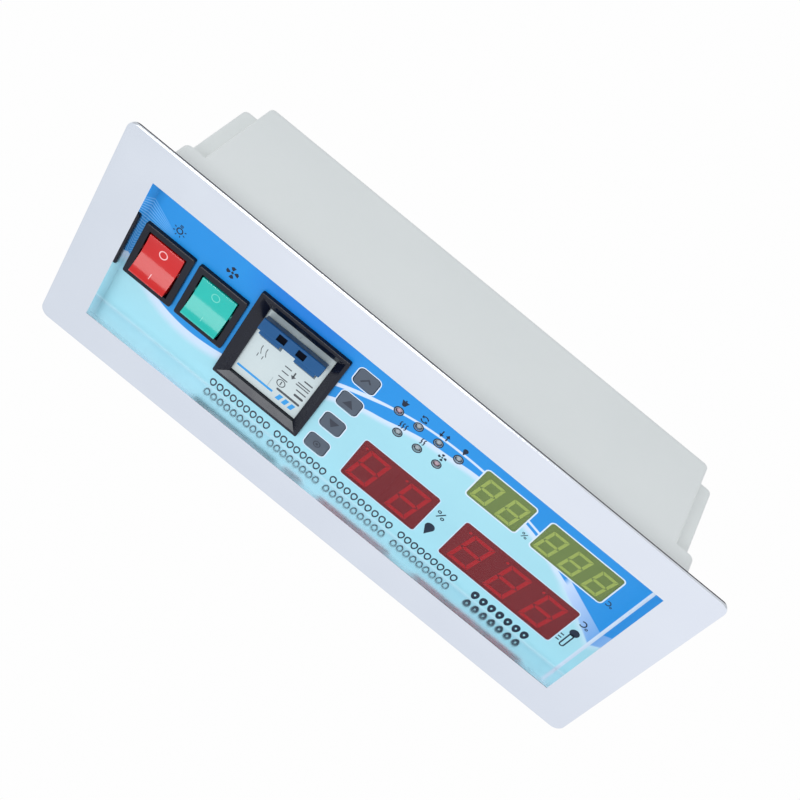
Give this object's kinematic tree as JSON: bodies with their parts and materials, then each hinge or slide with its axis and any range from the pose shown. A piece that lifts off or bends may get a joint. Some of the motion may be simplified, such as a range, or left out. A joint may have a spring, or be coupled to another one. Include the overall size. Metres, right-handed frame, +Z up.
{
  "type": "incubator controller",
  "caption": "Panel-mount egg incubator controller: chromed frame, sunk printed panel with digit windows, keys, breaker lever and rockers, and a deep white housing.",
  "frame": {"origin": "centre of the flange's rear face, where it seats on the cabinet wall", "axes": "+Z up, front faces -Y, +X to the operator's right, +Y into the cabinet"},
  "size_m": [0.3, 0.091, 0.12],
  "materials": {
    "chrome": "polished",
    "printed_film": "satin printed film",
    "red_filter": "tinted film",
    "green_filter": "tinted film",
    "display_case": "matte",
    "led_epoxy": "clear epoxy",
    "key_film": "satin",
    "black_abs": "fine texture",
    "breaker_case": "satin",
    "lever_blue": "satin",
    "switch_green": "translucent gloss",
    "switch_red": "translucent gloss",
    "white_abs": "fine texture",
    "circuit_board": "solder mask",
    "zinc_steel": "zinc plated",
    "tinned_brass": "tinned",
    "relay_blue": "gloss",
    "core_iron": "varnished laminations",
    "bobbin_yellow": "tape",
    "capacitor_sleeve": "gloss sleeve",
    "heatsink": "extruded",
    "terminal_green": "satin",
    "cable_grey": "satin",
    "rubber": "matte",
    "fuse_glass": "clear"
  },
  "bodies": {
    "controller": {"front_bezel": "chrome", "panel_overlay": "printed_film", "red_windows": "red_filter", "green_windows": "green_filter", "temperature_display": "display_case", "humidity_display": "display_case", "temperature_set_display": "display_case", "humidity_set_display": "display_case", "indicator_leds": "led_epoxy", "tact_switches": "black_abs", "display_board": "circuit_board", "display_board_screws": "zinc_steel", "display_chips": "black_abs", "breaker_trim": "black_abs", "breaker_body": "breaker_case", "breaker_terminal_screws": "tinned_brass", "mounting_rail": "zinc_steel", "rail_screws": "zinc_steel", "fan_switch_body": "black_abs", "light_switch_body": "black_abs", "switch_terminals": "tinned_brass", "power_board": "circuit_board", "power_board_screws": "zinc_steel", "transformer_core": "core_iron", "transformer_bobbin": "bobbin_yellow", "relays": "relay_blue", "capacitors": "capacitor_sleeve", "buzzer": "black_abs", "regulator_heatsink": "heatsink", "output_terminals": "terminal_green", "output_terminals_screws": "zinc_steel", "sensor_terminals": "terminal_green", "sensor_terminals_screws": "zinc_steel", "cable_headers": "black_abs", "ribbon_cable": "cable_grey", "rear_housing": "white_abs", "frame_screws": "zinc_steel", "mains_grommet": "rubber", "fuse_holder": "black_abs", "fuse_cap": "black_abs", "fuse": "fuse_glass"},
    "set_key": {"set_key": "key_film"},
    "up_key": {"up_key": "key_film"},
    "down_key": {"down_key": "key_film"},
    "confirm_key": {"confirm_key": "key_film"},
    "fan_rocker": {"fan_rocker": "switch_green"},
    "light_rocker": {"light_rocker": "switch_red"},
    "breaker_lever": {"breaker_lever": "lever_blue"}
  },
  "joints": [
    {"name": "set_key_press", "type": "slide", "parent": "controller", "child": "set_key", "axis": [0, 1, 0], "range_m": [0, 0.0004], "stiffness_N_per_m": 600, "springref_m": -0.0002},
    {"name": "up_key_press", "type": "slide", "parent": "controller", "child": "up_key", "axis": [0, 1, 0], "range_m": [0, 0.0004], "stiffness_N_per_m": 600, "springref_m": -0.0002},
    {"name": "down_key_press", "type": "slide", "parent": "controller", "child": "down_key", "axis": [0, 1, 0], "range_m": [0, 0.0004], "stiffness_N_per_m": 600, "springref_m": -0.0002},
    {"name": "confirm_key_press", "type": "slide", "parent": "controller", "child": "confirm_key", "axis": [0, 1, 0], "range_m": [0, 0.0004], "stiffness_N_per_m": 600, "springref_m": -0.0002},
    {"name": "fan_rocker_tilt", "type": "hinge", "parent": "controller", "child": "fan_rocker", "pos_m": [0.0873, 0.0115, 0.002], "axis": [-1, 0, 0], "range_deg": [0, 24]},
    {"name": "light_rocker_tilt", "type": "hinge", "parent": "controller", "child": "light_rocker", "pos_m": [0.1155, 0.0115, 0.002], "axis": [-1, 0, 0], "range_deg": [0, 24]},
    {"name": "breaker_lever_swing", "type": "hinge", "parent": "controller", "child": "breaker_lever", "pos_m": [0.0489, 0.018, -0.0065], "axis": [-1, 0, 0], "range_deg": [0, 56]}
  ]
}
